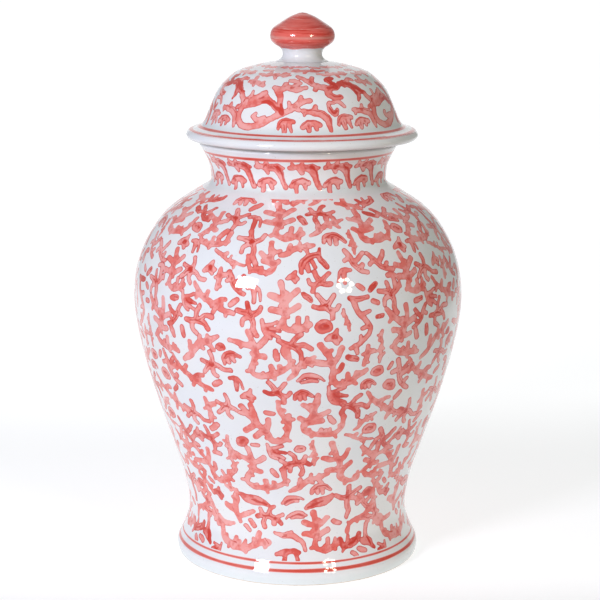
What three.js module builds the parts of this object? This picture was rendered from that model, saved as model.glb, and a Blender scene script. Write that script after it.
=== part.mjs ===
// Lidded ginger jar in glazed ceramic: a hollow jar, and a lid made of a dome, a locating collar
// and a knob. Millimetres, +Z up. The origin is where the jar's axis meets the resting plane.
// Every piece is a solid of revolution. Profiles are (radius, height) pairs.
import * as THREE from 'three';

// Jar
const FOOT_RADIUS = 102.6;
const FOOT_HEIGHT = 9;
const FOOT_RING_OUTER = 101.4;
const FOOT_RING_INNER = 86;
const FOOT_RECESS = 7;
const FLOOR_HEIGHT = 15;
const WAIST_RADIUS = 92.8;
const WAIST_HEIGHT = 42;
const BELLY_RADIUS = 137.4;
const BELLY_HEIGHT = 224;
const NECK_BASE_RADIUS = 75.5;
const NECK_BASE_HEIGHT = 317;
const NECK_RADIUS = 72.8;
const NECK_HEIGHT = 323;
const RIM_RADIUS = 82.6;
const RIM_HEIGHT = 353.6;
const RIM_ROUNDING = 3;
const JAR_WALL = 5.5;

// Lid
const LID_SHIFT = 3;
const SEAT_GAP = 0.3;
const BRIM_RADIUS = 95.6;
const BRIM_EDGE_HEIGHT = 4.2;
const BRIM_SEAT_OUTER = 88;
const DOME_FOOT_RADIUS = 79.8;
const DOME_TOP_HEIGHT = 417.6;
const DOME_WALL = 5;
const LEDGE_THICKNESS = 6;

// Collar under the lid
const COLLAR_OUTER = 61;
const COLLAR_INNER = 56;
const COLLAR_DEPTH = 18;
const COLLAR_CHAMFER = 1.2;

// Knob
const KNOB_FOOT_RADIUS = 19;
const KNOB_STEM_RADIUS = 16.2;
const KNOB_RADIUS = 26.6;
const KNOB_WIDEST_HEIGHT = 438.8;
const KNOB_TIP_HEIGHT = 457;

const SEGMENTS = 48;
const KNOB_SEGMENTS = 36;

const glazeWhite = { color: 0xe9edf0, roughness: 0.12, metalness: 0 };
const glazeCoral = { color: 0xc8453f, roughness: 0.15, metalness: 0 };
const bareClay = { color: 0xe3d9cb, roughness: 0.85, metalness: 0 };

// A smooth run of points through hand-placed stations.
function smooth(stations, steps) {
  const points = stations.map(([radius, height]) => new THREE.Vector2(radius, height));
  return new THREE.SplineCurve(points).getPoints(steps);
}

// The same run moved sideways by a wall thickness, towards the axis for a run that climbs.
function offset(points, distance) {
  return points.map((point, index) => {
    const before = points[Math.max(index - 1, 0)];
    const after = points[Math.min(index + 1, points.length - 1)];
    const along = new THREE.Vector2().subVectors(after, before).normalize();
    return new THREE.Vector2(point.x - along.y * distance, point.y + along.x * distance);
  });
}

function revolved(name, profile, look, segments = SEGMENTS) {
  const points = profile.map((point) => (
    point.isVector2 ? point : new THREE.Vector2(point[0], point[1])
  ));
  const geometry = new THREE.LatheGeometry(points, segments);
  geometry.rotateX(Math.PI / 2);
  const mesh = new THREE.Mesh(geometry, new THREE.MeshStandardMaterial(look));
  mesh.name = name;
  return mesh;
}

// Jar: recessed base, foot ring, waist, belly and shoulder, then a flared neck with a rolled rim.
function jarBody() {
  const body = smooth([
    [FOOT_RADIUS, FOOT_HEIGHT],
    [96.2, 24],
    [WAIST_RADIUS, WAIST_HEIGHT],
    [97.6, 71],
    [108, 103],
    [119.2, 136],
    [128.6, 168],
    [135.2, 199],
    [BELLY_RADIUS, BELLY_HEIGHT],
    [134.3, 249],
    [124.8, 273],
    [107.2, 296],
    [NECK_BASE_RADIUS, NECK_BASE_HEIGHT],
  ], 24);
  const neck = smooth([
    [NECK_RADIUS, NECK_HEIGHT],
    [74, 332.5],
    [77, 340],
    [RIM_RADIUS, RIM_HEIGHT - RIM_ROUNDING],
  ], 6);
  const outside = [...body, ...neck];
  const aboveFloor = outside.filter((point, index) => point.y > FLOOR_HEIGHT + 12 && index % 2 === 0);
  const inside = offset(aboveFloor, JAR_WALL).reverse();
  return revolved('jar_body', [
    [0, FOOT_RECESS],
    [FOOT_RING_INNER - 4, FOOT_RECESS],
    [FOOT_RING_INNER, 0],
    [FOOT_RING_OUTER, 0],
    [FOOT_RADIUS, 3],
    ...outside,
    [RIM_RADIUS - 0.9, RIM_HEIGHT - 0.8],
    [RIM_RADIUS - RIM_ROUNDING, RIM_HEIGHT],
    [inside[0].x + 2, RIM_HEIGHT],
    ...inside,
    [inside.at(-1).x - 3, FLOOR_HEIGHT + 4],
    [inside.at(-1).x - 12, FLOOR_HEIGHT],
    [0, FLOOR_HEIGHT],
  ], glazeWhite);
}

// Lid shell: a dome that is hollow from below, a thick rounded brim and an inner ledge.
function lidDome() {
  const seat = RIM_HEIGHT + SEAT_GAP;
  const dome = smooth([
    [BRIM_RADIUS, seat + BRIM_EDGE_HEIGHT],
    [93.4, seat + 7.6],
    [88, seat + 9.4],
    [83.2, seat + 12.2],
    [DOME_FOOT_RADIUS, seat + 17],
    [77, seat + 25.9],
    [69.2, seat + 40.9],
    [61, seat + 50],
    [51.5, seat + 56.4],
    [34, seat + 61.3],
    [KNOB_FOOT_RADIUS + 1, DOME_TOP_HEIGHT],
  ], 20);
  const inside = offset(dome.filter((point) => point.y > seat + 18.4), DOME_WALL).reverse();
  return revolved('lid_dome', [
    [COLLAR_INNER, seat],
    [BRIM_SEAT_OUTER, seat],
    [BRIM_RADIUS - 2, seat + 1.4],
    ...dome,
    [0, DOME_TOP_HEIGHT],
    [0, DOME_TOP_HEIGHT - DOME_WALL],
    ...inside,
    [inside.at(-1).x - 2, seat + LEDGE_THICKNESS + 3],
    [inside.at(-1).x - 8, seat + LEDGE_THICKNESS],
    [COLLAR_INNER, seat + LEDGE_THICKNESS],
    [COLLAR_INNER, seat],
  ], glazeWhite);
}

// Collar: the ring luted under the ledge that keeps the lid in the mouth.
function lidCollar() {
  const top = RIM_HEIGHT;
  const bottom = top - COLLAR_DEPTH;
  return revolved('lid_collar', [
    [COLLAR_INNER, bottom],
    [COLLAR_OUTER - COLLAR_CHAMFER, bottom],
    [COLLAR_OUTER, bottom + COLLAR_CHAMFER],
    [COLLAR_OUTER, top],
    [COLLAR_INNER, top],
    [COLLAR_INNER, bottom],
  ], bareClay);
}

// Knob: a waisted stem under a flattened, pointed bulb.
function lidKnob() {
  const foot = DOME_TOP_HEIGHT + SEAT_GAP;
  const bulb = smooth([
    [KNOB_FOOT_RADIUS, foot],
    [KNOB_STEM_RADIUS, foot + 4.4],
    [18.8, foot + 10.6],
    [22.8, foot + 13.2],
    [25.8, foot + 16.4],
    [KNOB_RADIUS, KNOB_WIDEST_HEIGHT],
    [24.6, KNOB_TIP_HEIGHT - 13],
    [18.4, KNOB_TIP_HEIGHT - 8.4],
    [10.2, KNOB_TIP_HEIGHT - 3.4],
    [0, KNOB_TIP_HEIGHT],
  ], 18);
  return revolved('lid_knob', [[0, foot], ...bulb], glazeCoral, KNOB_SEGMENTS);
}

const lid = new THREE.Group();
lid.add(lidDome(), lidCollar(), lidKnob());
lid.position.x = LID_SHIFT;

const jar = new THREE.Group();
jar.add(jarBody(), lid);

export default jar;
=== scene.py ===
"""Looks of the lidded ginger jar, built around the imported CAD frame.

Every surface is a fine revolved mesh. The underglaze pattern is real geometry: brush strokes are
laid out on the unrolled surface in millimetres, joined into one field, and cut out as thin shells
that follow the glaze. Lengths are metres unless a name or comment says millimetres.
"""
import math

import bpy
import numpy as np
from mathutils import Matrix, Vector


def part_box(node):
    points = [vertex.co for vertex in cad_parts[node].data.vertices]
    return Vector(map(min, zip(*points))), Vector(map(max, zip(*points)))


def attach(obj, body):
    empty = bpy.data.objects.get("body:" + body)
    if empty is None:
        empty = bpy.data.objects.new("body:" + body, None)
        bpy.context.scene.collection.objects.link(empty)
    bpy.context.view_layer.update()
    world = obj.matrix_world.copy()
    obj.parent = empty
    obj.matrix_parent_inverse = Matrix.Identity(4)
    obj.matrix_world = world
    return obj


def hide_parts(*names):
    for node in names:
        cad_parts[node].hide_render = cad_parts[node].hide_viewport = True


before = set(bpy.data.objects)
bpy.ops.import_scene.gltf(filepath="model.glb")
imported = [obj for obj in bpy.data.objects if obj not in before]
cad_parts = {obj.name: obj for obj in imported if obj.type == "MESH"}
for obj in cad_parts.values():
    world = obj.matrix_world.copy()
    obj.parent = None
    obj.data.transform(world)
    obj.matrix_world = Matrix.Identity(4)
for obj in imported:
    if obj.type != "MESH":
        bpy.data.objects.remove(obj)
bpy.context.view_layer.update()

MM = 0.001
FULL_TURN = 2 * math.pi

# The pattern on the belly and the lid repeats this many times round.
QUARTERS = 4

# How far a painted skin stands off the white glaze, in millimetres: at its edge, further in, along
# the middle of a band, and on the hidden side that closes it.
SKIN_EDGE = 0.03
SKIN_INNER = 0.045
SKIN_MIDDLE = 0.05
SKIN_SUNK = -0.12

# ---------------------------------------------------------------- frame

JAR_LOW, JAR_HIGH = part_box("jar_body")
DOME_LOW, DOME_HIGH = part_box("lid_dome")
COLLAR_LOW, COLLAR_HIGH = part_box("lid_collar")
KNOB_LOW, KNOB_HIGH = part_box("lid_knob")
LID_AXIS_X = (KNOB_LOW.x + KNOB_HIGH.x) / 2

RIM = JAR_HIGH.z / MM
SEAT = DOME_LOW.z / MM
DOME_TOP = DOME_HIGH.z / MM
KNOB_FOOT = KNOB_LOW.z / MM
KNOB_TIP = KNOB_HIGH.z / MM


# ---------------------------------------------------------------- surfaces of revolution

def smooth_run(stations, step=1.0, pieces=None):
    """A Catmull-Rom run through stations, its points about step apart or pieces to a stretch."""
    points = np.array(stations, float)
    padded = np.vstack([2 * points[0] - points[1], points, 2 * points[-1] - points[-2]])
    run = []
    for a, b, c, d in zip(padded, padded[1:], padded[2:], padded[3:]):
        count = pieces or max(2, round(float(np.linalg.norm(c - b)) / step))
        t = (np.arange(count) / count)[:, None]
        run.append(0.5 * (2 * b + (c - a) * t + (2 * a - 5 * b + 4 * c - d) * t ** 2
                          + (3 * b - a - 3 * c + d) * t ** 3))
    run.append(padded[-2][None])
    return np.vstack(run)


def rounded(centre, radius, start, end, count=6):
    """Points of an arc in the profile plane, from start to end in degrees."""
    angles = np.radians(np.linspace(start, end, count))
    return np.array(centre, float) + radius * np.stack([np.cos(angles), np.sin(angles)], 1)


def normals_of(run):
    """Unit normals of a run, to the right of its direction: outward on an outside that climbs."""
    along = np.gradient(run, axis=0)
    along /= np.linalg.norm(along, axis=1)[:, None] + 1e-12
    return np.stack([along[:, 1], -along[:, 0]], 1)


def wall_inside(run, thickness):
    """The inner side of a wall, walked back down."""
    return (run - normals_of(run) * thickness)[::-1]


# The waves of a hand-finished wall: (millimetres, times round, lean with height, start).
WOBBLE = ((0.22, 2, 0.021, 0), (0.12, 3, -0.034, 1.3), (0.05, 5, 0.06, 0.4))


def hand_wobble(azimuth, height):
    """How far, in millimetres, the wall stands off a true circle."""
    return sum(far * np.sin(waves * azimuth + lean * height + start)
               for far, waves, lean, start in WOBBLE)


class Surface:
    """An outside run addressed by arc length in millimetres from its lower end."""

    def __init__(self, run, axis_x=0.0):
        self.run = run
        self.normals = normals_of(run)
        steps = np.linalg.norm(np.diff(run, axis=0), axis=1)
        self.arc = np.concatenate([[0.0], np.cumsum(steps)])
        self.axis_x = axis_x

    def radius(self, arc):
        return np.interp(arc, self.arc, self.run[:, 0])

    def place(self, azimuth, arc, lift):
        """World points in metres. Azimuth 0 faces -Y and grows towards +X."""
        radius = self.radius(arc)
        height = np.interp(arc, self.arc, self.run[:, 1])
        out_r = np.interp(arc, self.arc, self.normals[:, 0])
        out_z = np.interp(arc, self.arc, self.normals[:, 1])
        radius = radius + out_r * lift + hand_wobble(azimuth, height)
        height = height + out_z * lift
        return np.stack([radius * np.sin(azimuth) * MM + self.axis_x,
                         -radius * np.cos(azimuth) * MM,
                         height * MM + 0 * azimuth], -1)


def new_piece(name, vertices, faces, body):
    """A smooth-shaded mesh, sharp where it turns a corner, that moves with a body."""
    mesh = bpy.data.meshes.new(name)
    mesh.from_pydata([tuple(v) for v in vertices], [], [tuple(f) for f in faces])
    mesh.validate()
    mesh.shade_smooth()
    mesh.set_sharp_from_angle(angle=math.radians(50))
    piece = bpy.data.objects.new(name, mesh)
    bpy.context.scene.collection.objects.link(piece)
    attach(piece, body)
    return piece


def store(piece, name, values):
    """Keeps one number for each vertex, for the materials to read."""
    attribute = piece.data.attributes.new(name, "FLOAT", "POINT")
    attribute.data.foreach_set("value", np.asarray(values, np.float32))


def ring_quads(rows, turns, closed):
    """Faces between neighbouring rings of a grid; closed joins the last ring to the first."""
    i = np.arange(rows if closed else rows - 1)[:, None]
    j = np.arange(turns)[None]
    up, beside = (i + 1) % rows, (j + 1) % turns
    quads = [i * turns + j, i * turns + beside, up * turns + beside, up * turns + j]
    return np.stack(quads, -1).reshape(-1, 4)


def revolve(name, profile, body, turns, axis_x=0.0, wobble=True):
    """A closed solid of revolution. The profile runs from the axis to the axis, or closes itself."""
    profile = np.asarray(profile, float)
    on_axis = profile[0][0] < 1e-6
    ring = profile[1:-1] if on_axis else profile
    azimuth = np.arange(turns) * FULL_TURN / turns
    radius = ring[:, :1] + (hand_wobble(azimuth[None], ring[:, 1:]) if wobble else 0)
    x = radius * np.sin(azimuth) * MM + axis_x
    y = -radius * np.cos(azimuth) * MM
    z = np.broadcast_to(ring[:, 1:] * MM, x.shape)
    vertices = np.stack([x, y, z], -1).reshape(-1, 3)
    rows = len(ring)
    faces = ring_quads(rows, turns, not on_axis).tolist()
    if on_axis:
        first, last = len(vertices), len(vertices) + 1
        poles = [[axis_x, 0, profile[0][1] * MM], [axis_x, 0, profile[-1][1] * MM]]
        vertices = np.vstack([vertices, poles])
        top = (rows - 1) * turns
        faces += [(first, (k + 1) % turns, k) for k in range(turns)]
        faces += [(last, top + k, top + (k + 1) % turns) for k in range(turns)]
    return new_piece(name, vertices, faces, body)


# ---------------------------------------------------------------- brush strokes

def hand_tremor(azimuth, arc):
    """Sideways and lengthwise wander of the brush, in millimetres, closed round the jar."""
    across = 0.24 * np.sin(61 * azimuth + 0.37 * arc) + 0.12 * np.sin(113 * azimuth - 0.83 * arc)
    along = 0.24 * np.sin(54 * azimuth - 0.44 * arc + 2.1) + 0.12 * np.sin(97 * azimuth + 0.9 * arc)
    return across, along


def soft_step(value, low, high):
    """From 0 at low to 1 at high, with soft ends."""
    t = np.clip((value - low) / (high - low), 0, 1)
    return t * t * (3 - 2 * t)


class Painting:
    """Strokes on one patch of a surface, gathered on a grid of arc length by azimuth.

    gap is the distance in millimetres to the nearest stroke's edge, negative inside. The other
    layers say how dark the wash is, where strokes cross, which motifs are outlined, and how far
    off the nearest line drawn over them is. load says how much colour the brush holds here,
    more or less than usual.
    """
    JOIN = 0.9
    MARGIN = 4.0
    LOAD_SWING = 0.30
    LOAD_OUTLINED = 0.13
    LOAD_SOFT = -0.10

    def __init__(self, surface, start, turn, low, high, cell, load=0.0):
        self.surface = surface
        self.load = load
        self.arc = np.linspace(low, high, round((high - low) / cell) + 1)
        widest = surface.radius(self.arc).max()
        self.azimuth = np.linspace(start, start + turn, round(turn * widest / cell) + 1)
        self.reach = surface.radius(self.arc)[:, None]
        across, along = hand_tremor(self.azimuth[None], self.arc[:, None])
        self.across, self.along = across, along
        shape = across.shape
        self.gap = np.full(shape, self.MARGIN)
        self.wash = np.zeros(shape)
        self.cover = np.zeros(shape)
        self.outline = np.zeros(shape)
        self.ink = np.full(shape, self.MARGIN)

    def stroke(self, azimuth, arc, width, tone, outlined):
        """One stroke through points given by azimuth, arc length and half-width arrays."""
        spread = width.max() + self.MARGIN
        rows = np.flatnonzero((self.arc > arc.min() - spread) & (self.arc < arc.max() + spread))
        if not len(rows):
            return
        turn_spread = spread / self.reach[rows].min()
        inside = (self.azimuth > azimuth.min() - turn_spread) \
            & (self.azimuth < azimuth.max() + turn_spread)
        columns = np.flatnonzero(inside)
        if not len(columns):
            return
        window = np.s_[rows[0]:rows[-1] + 1, columns[0]:columns[-1] + 1]
        reach = self.reach[rows][None]
        dx = (self.azimuth[columns] - azimuth[:-1, None, None]) * reach + self.across[window]
        dy = self.arc[rows][None, :, None] - arc[:-1, None, None] + self.along[window]
        ex = (azimuth[1:] - azimuth[:-1])[:, None, None] * reach
        ey = (arc[1:] - arc[:-1])[:, None, None]
        t = np.clip((dx * ex + dy * ey) / (ex * ex + ey * ey + 1e-9), 0, 1)
        half = width[:-1, None, None] + t * (width[1:] - width[:-1])[:, None, None]
        gap = (np.hypot(dx - t * ex, dy - t * ey) - half).min(0)
        blend = np.clip(0.5 + 0.5 * (self.gap[window] - gap) / self.JOIN, 0, 1)
        self.gap[window] += (gap - self.gap[window]) * blend - self.JOIN * blend * (1 - blend)
        if tone == INK:
            self.ink[window] = np.minimum(self.ink[window], gap)
        else:
            cover = soft_step(-gap, -0.6, 1.4)
            self.wash[window] += cover * tone
            self.cover[window] += cover
            self.outline[window] += cover * outlined

    def place(self, name, azimuth, arc, turn=0, size=1, mirror=1):
        """Lays a motif with its origin at an azimuth in degrees and an arc length in millimetres."""
        outlined = 0 if name in SOFT_EDGED else 1
        phase = 1.7 * (azimuth % (360 / QUARTERS)) + 0.9 * arc
        load = self.load + self.LOAD_SWING * math.sin(phase)
        load += self.LOAD_OUTLINED if outlined else self.LOAD_SOFT
        for tone, run in STROKES[name]:
            side, up, half = laid(run, turn, size, mirror)
            run_arc = arc + up
            run_azimuth = math.radians(azimuth) + side / self.surface.radius(run_arc)
            shade = tone if tone == INK else min(max(tone + load, 0), 1)
            for lap in (-FULL_TURN, 0, FULL_TURN):
                self.stroke(run_azimuth + lap, run_arc, half, shade, outlined)

    def shells(self, name, body):
        """Cuts the strokes out of the grid as one closed thin shell that follows the surface."""
        tops, corners = cut_cells(self.gap < 0)
        layer, node = np.divmod(corners, self.gap.size)
        row, column = np.divmod(node, self.gap.shape[1])
        next_row, next_column = row + (layer == 2), column + (layer == 1)
        here, there = self.gap[row, column], self.gap[next_row, next_column]
        share = np.where(layer > 0, here / np.where(here == there, 1, here - there), 0)

        def at(values):
            return values[row, column] * (1 - share) + values[next_row, next_column] * share

        azimuth = self.azimuth[column] * (1 - share) + self.azimuth[next_column] * share
        arc = self.arc[row] * (1 - share) + self.arc[next_row] * share
        depth = np.maximum(-at(self.gap), 0)
        rise = SKIN_EDGE + (SKIN_INNER - SKIN_EDGE) * soft_step(depth, 0, 1.2)
        count = len(corners)
        top = self.surface.place(azimuth, arc, rise)
        bottom = self.surface.place(azimuth, arc, np.full(count, SKIN_SUNK))
        polygons = closed_shell(tops, count)
        piece = new_piece(name, np.vstack([top, bottom]), polygons, body)
        cover = at(self.cover)
        tone = at(self.wash) / np.maximum(cover, 1e-6)
        outline = at(self.outline) / np.maximum(cover, 1e-6)
        for layer_name, values in (("depth", depth), ("tone", tone), ("pool", cover),
                                   ("outline", outline), ("ink", at(self.ink))):
            store(piece, layer_name, np.tile(values, 2))
        return piece


def cut_cells(inside):
    """Faces over the grid nodes that lie inside, cut off along the edges of mixed cells.

    Gives blocks of faces that share a number of sides, and what each of their corners is: a grid
    node, or, once or twice the grid's size further on, the place where the outline crosses the
    edge from that node to the next column or row.
    """
    node = np.arange(inside.size).reshape(inside.shape)
    crossing_u = inside.size + node
    crossing_v = 2 * inside.size + node
    corners = np.stack([node[:-1, :-1], node[:-1, 1:], node[1:, 1:], node[1:, :-1]], -1)
    sides = np.stack([crossing_u[:-1, :-1], crossing_v[:-1, 1:],
                      crossing_u[1:, :-1], crossing_v[:-1, :-1]], -1)
    held = inside.reshape(-1)[corners]
    faces = []
    for case in range(1, 16):
        pattern = [(case >> k) & 1 for k in range(4)]
        cells = np.all(held == np.array(pattern, bool), -1)
        if not cells.any():
            continue
        ring = []
        for k in range(4):
            if pattern[k]:
                ring.append(corners[cells][:, k])
            if pattern[k] != pattern[(k + 1) % 4]:
                ring.append(sides[cells][:, k])
        faces.append(np.stack(ring, 1))
    used, index = np.unique(np.concatenate([f.reshape(-1) for f in faces]), return_inverse=True)
    blocks, start = [], 0
    for block in faces:
        blocks.append(index[start:start + block.size].reshape(block.shape))
        start += block.size
    return blocks, used


def closed_shell(tops, count):
    """Top faces, the same faces turned over on a second layer of corners, and walls between."""
    edges = np.concatenate([np.stack([f, np.roll(f, -1, 1)], -1).reshape(-1, 2) for f in tops])
    code, back = edges[:, 0] * count + edges[:, 1], edges[:, 1] * count + edges[:, 0]
    rim = edges[~np.isin(code, back)]
    walls = np.stack([rim[:, 1], rim[:, 0], rim[:, 0] + count, rim[:, 1] + count], 1)
    polygons = [f for block in tops for f in block.tolist()]
    polygons += [f for block in tops for f in (block[:, ::-1] + count).tolist()]
    return polygons + walls.tolist()


def laid(run, turn, size, mirror):
    """A stroke turned, scaled and mirrored: millimetres sideways, upwards, and half-width."""
    cos, sin = math.cos(math.radians(turn)), math.sin(math.radians(turn))
    x, y = run[:, 0] * size * mirror, run[:, 1] * size
    return x * cos - y * sin, x * sin + y * cos, run[:, 2] * size ** 0.5


def budded(name):
    """A motif's strokes as smooth runs; long soft ones swell and put out short buds."""
    strokes = []
    for tone, points in MOTIFS[name]:
        run = smooth_run(points, pieces=STROKE_PIECES)
        run[:, 2] = np.clip(run[:, 2], THINNEST, None)
        strokes.append((tone, run))
        steps = np.hypot(*np.diff(run[:, :2], axis=0).T)
        length = np.concatenate([[0], np.cumsum(steps)])
        if tone == INK or name not in SOFT_EDGED or length[-1] < BUD_SPACING * 2:
            continue
        run[:, 2] *= 1 + 0.10 * np.sin(0.6 * length + len(points))
        for k, place in enumerate(np.arange(BUD_SPACING * 0.8, length[-1] - 4, BUD_SPACING)):
            i = int(np.searchsorted(length, place))
            ahead = run[i, :2] - run[i - 1, :2]
            ahead /= np.hypot(*ahead)
            side = np.array([-ahead[1], ahead[0]]) * (1 if (k + len(points)) % 2 else -1)
            reach = run[i, 2] + BUD_REACH * (1 + math.sin(2.4 * k + length[-1]))
            tip = run[i, :2] + side * reach + ahead * BUD_LEAN
            strokes.append((tone, np.array([[*run[i, :2], BUD_WIDTHS[0]], [*tip, BUD_WIDTHS[1]]])))
    return strokes


def footprint(reach, name, azimuth, arc, turn=0, size=1, mirror=1):
    """A motif as discs laid flat: (millimetres round a circle of radius reach, arc, radius)."""
    run = np.vstack([run[::2] if len(run) > 2 else run for tone, run in STROKES[name]
                     if tone != INK])
    side, up, half = laid(run, turn, size, mirror)
    return np.stack([math.radians(azimuth) * reach + side, arc + up, half], 1)


def neighbours(places, skipped, azimuth, arc, reach, repeats):
    """Discs of every motif near a place, each taken on its nearest lap."""
    discs = []
    for k, (name, other_azimuth, other_arc, *rest) in enumerate(places):
        lap = round((azimuth - other_azimuth) * repeats / 360) * 360 / repeats
        away = math.radians(other_azimuth + lap - azimuth) * reach
        if k != skipped and abs(other_arc - arc) < NEAR_ARC and abs(away) < NEAR_ROUND:
            discs.append(footprint(reach, name, other_azimuth + lap, other_arc, *rest))
    return np.vstack(discs)


def clearance(mine, others, dx=0.0, dy=0.0):
    """The narrowest gap between two lots of discs, with the first lot moved."""
    away = np.hypot(mine[:, None, 0] + dx - others[None, :, 0],
                    mine[:, None, 1] + dy - others[None, :, 1])
    return (away - mine[:, None, 2] - others[None, :, 2]).min()


def eased(layout, surface, repeats):
    """Moves each small motif a little so that it stays clear of those around it.

    Big motifs keep their places. A small one tries its own place first, then rings of places
    round it, and keeps the one with the best clearance for the shortest move.
    """
    steps = [(0, 0)] + [(r * math.cos(k * math.pi / 6), r * math.sin(k * math.pi / 6))
                        for r in NUDGES for k in range(12)]
    places = [list(item) for item in layout]
    for index, item in enumerate(layout):
        name, azimuth, arc = item[:3]
        if name in FIXED:
            continue
        reach = float(surface.radius(np.array([arc]))[0])
        others = neighbours(places, index, azimuth, arc, reach, repeats)
        mine = footprint(reach, *item)
        costs = [CROWDING_COST * max(CLEARANCE - clearance(mine, others, dx, dy), 0)
                 + MOVE_COST * math.hypot(dx, dy) for dx, dy in steps]
        dx, dy = steps[int(np.argmin(costs))]
        places[index][1] += math.degrees(dx / reach)
        places[index][2] += dy
    return places


def filled(places, surface, repeats, low, high):
    """Drops small motifs into the white gaps that are left, in a fixed scattered order."""
    places = list(places)
    for size in FILL_SIZES:
        for k in range(FILL_TRIES):
            azimuth = 360 / repeats * ((k * SCATTER_ROUND) % 1 - 0.5)
            arc = low + (high - low) * ((k * SCATTER_ARC) % 1)
            turn = FILL_TURN * math.sin(2.1 * k)
            item = [FILLERS[k % len(FILLERS)], azimuth, arc, turn, size, 1 if k % 2 else -1]
            reach = float(surface.radius(np.array([arc]))[0])
            others = neighbours(places, -1, azimuth, arc, reach, repeats)
            if clearance(footprint(reach, *item), others) > FILL_CLEARANCE:
                places.append(item)
    return places


# ---------------------------------------------------------------- materials

def new_material(name):
    material = bpy.data.materials.new(name)
    material.use_nodes = True
    tree = material.node_tree
    return material, tree, tree.nodes["Principled BSDF"]


def add(tree, kind, **settings):
    node = tree.nodes.new(kind)
    for key, value in settings.items():
        if key in node.inputs:
            node.inputs[key].default_value = value
        else:
            setattr(node, key, value)
    return node


def attribute(tree, name):
    return add(tree, "ShaderNodeAttribute", attribute_name=name).outputs["Fac"]


def noise(tree, scale, detail=2.0, roughness=0.5, stretch=(1, 1, 1)):
    """Noise in object space, so it stays with the piece; scale is in cycles per metre."""
    place = add(tree, "ShaderNodeTexCoord").outputs["Object"]
    mapping = add(tree, "ShaderNodeMapping")
    mapping.inputs["Scale"].default_value = stretch
    tree.links.new(place, mapping.inputs["Vector"])
    texture = add(tree, "ShaderNodeTexNoise", Scale=scale, Detail=detail, Roughness=roughness)
    tree.links.new(mapping.outputs[0], texture.inputs["Vector"])
    return texture.outputs["Fac"]


def ranged(tree, value, low, high, to_low=0.0, to_high=1.0):
    """Takes a value from one range to another, with soft ends."""
    node = add(tree, "ShaderNodeMapRange", interpolation_type="SMOOTHSTEP")
    tree.links.new(value, node.inputs["Value"])
    for key, number in (("From Min", low), ("From Max", high),
                        ("To Min", to_low), ("To Max", to_high)):
        node.inputs[key].default_value = number
    return node.outputs[0]


def maths(tree, operation, a, b):
    """One sum of two sockets or numbers, kept between 0 and 1."""
    node = add(tree, "ShaderNodeMath", operation=operation, use_clamp=True)
    for socket, value in zip(node.inputs, (a, b)):
        if isinstance(value, (int, float)):
            socket.default_value = value
        else:
            tree.links.new(value, socket)
    return node.outputs[0]


def times(tree, a, b):
    """One socket or number scaled by another."""
    return maths(tree, "MULTIPLY", a, b)


def mixed(tree, factor, first, second):
    """A mix of two colours, each a socket or a tuple."""
    node = add(tree, "ShaderNodeMix", data_type="RGBA")
    tree.links.new(factor, node.inputs["Factor"])
    for key, value in (("A", first), ("B", second)):
        socket = [s for s in node.inputs if s.name == key and s.type == "RGBA"][0]
        if isinstance(value, tuple):
            socket.default_value = (*value, 1)
        else:
            tree.links.new(value, socket)
    return [s for s in node.outputs if s.type == "RGBA"][0]


def bumped(tree, shader, height, strength, distance):
    bump = add(tree, "ShaderNodeBump", Strength=strength, Distance=distance)
    tree.links.new(height, bump.inputs["Height"])
    tree.links.new(bump.outputs[0], shader.inputs["Normal"])


def glossy(tree, shader, smoothest=0.03, roughest=0.065):
    """The clear glaze: very smooth, with faint orange peel and a slightly uneven gloss."""
    shader.inputs["IOR"].default_value = 1.52
    gloss = ranged(tree, noise(tree, 90), 0.3, 0.7, smoothest, roughest)
    tree.links.new(gloss, shader.inputs["Roughness"])
    bumped(tree, shader, noise(tree, 260, 1.0), 0.04, 0.0004)


WHITE = (0.80, 0.825, 0.845)
WHITE_WARM = (0.84, 0.845, 0.84)
WHITE_POOLED = (0.66, 0.735, 0.735)
CORAL_PALE = (0.89, 0.41, 0.385)
CORAL = (0.80, 0.150, 0.120)
CORAL_DARK = (0.61, 0.045, 0.030)
CORAL_LINE = (0.60, 0.085, 0.080)
CORAL_BAND = (0.66, 0.085, 0.058)
KNOB_THIN = (0.83, 0.34, 0.29)
# The pale colour of the painted sheen round the knob's widest point.
KNOB_PAINTED_SHEEN = (0.80, 0.40, 0.34)
SPECK = (0.42, 0.33, 0.25)
CLAY = (0.70, 0.62, 0.53)
CLAY_DARK = (0.56, 0.47, 0.38)


def white_glaze():
    """Cool white under clear glaze: it drifts a little in tone and pools blue-green in hollows."""
    material, tree, shader = new_material("white_glaze")
    drift = mixed(tree, ranged(tree, noise(tree, 14, 3.0), 0.35, 0.65), WHITE, WHITE_WARM)
    pooled = mixed(tree, attribute(tree, "hollow"), drift, WHITE_POOLED)
    specks = ranged(tree, noise(tree, 900, 0.0), 0.80, 0.83, 0.0, 0.35)
    colour = mixed(tree, specks, pooled, SPECK)
    tree.links.new(colour, shader.inputs["Base Color"])
    glossy(tree, shader)
    return material


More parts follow.
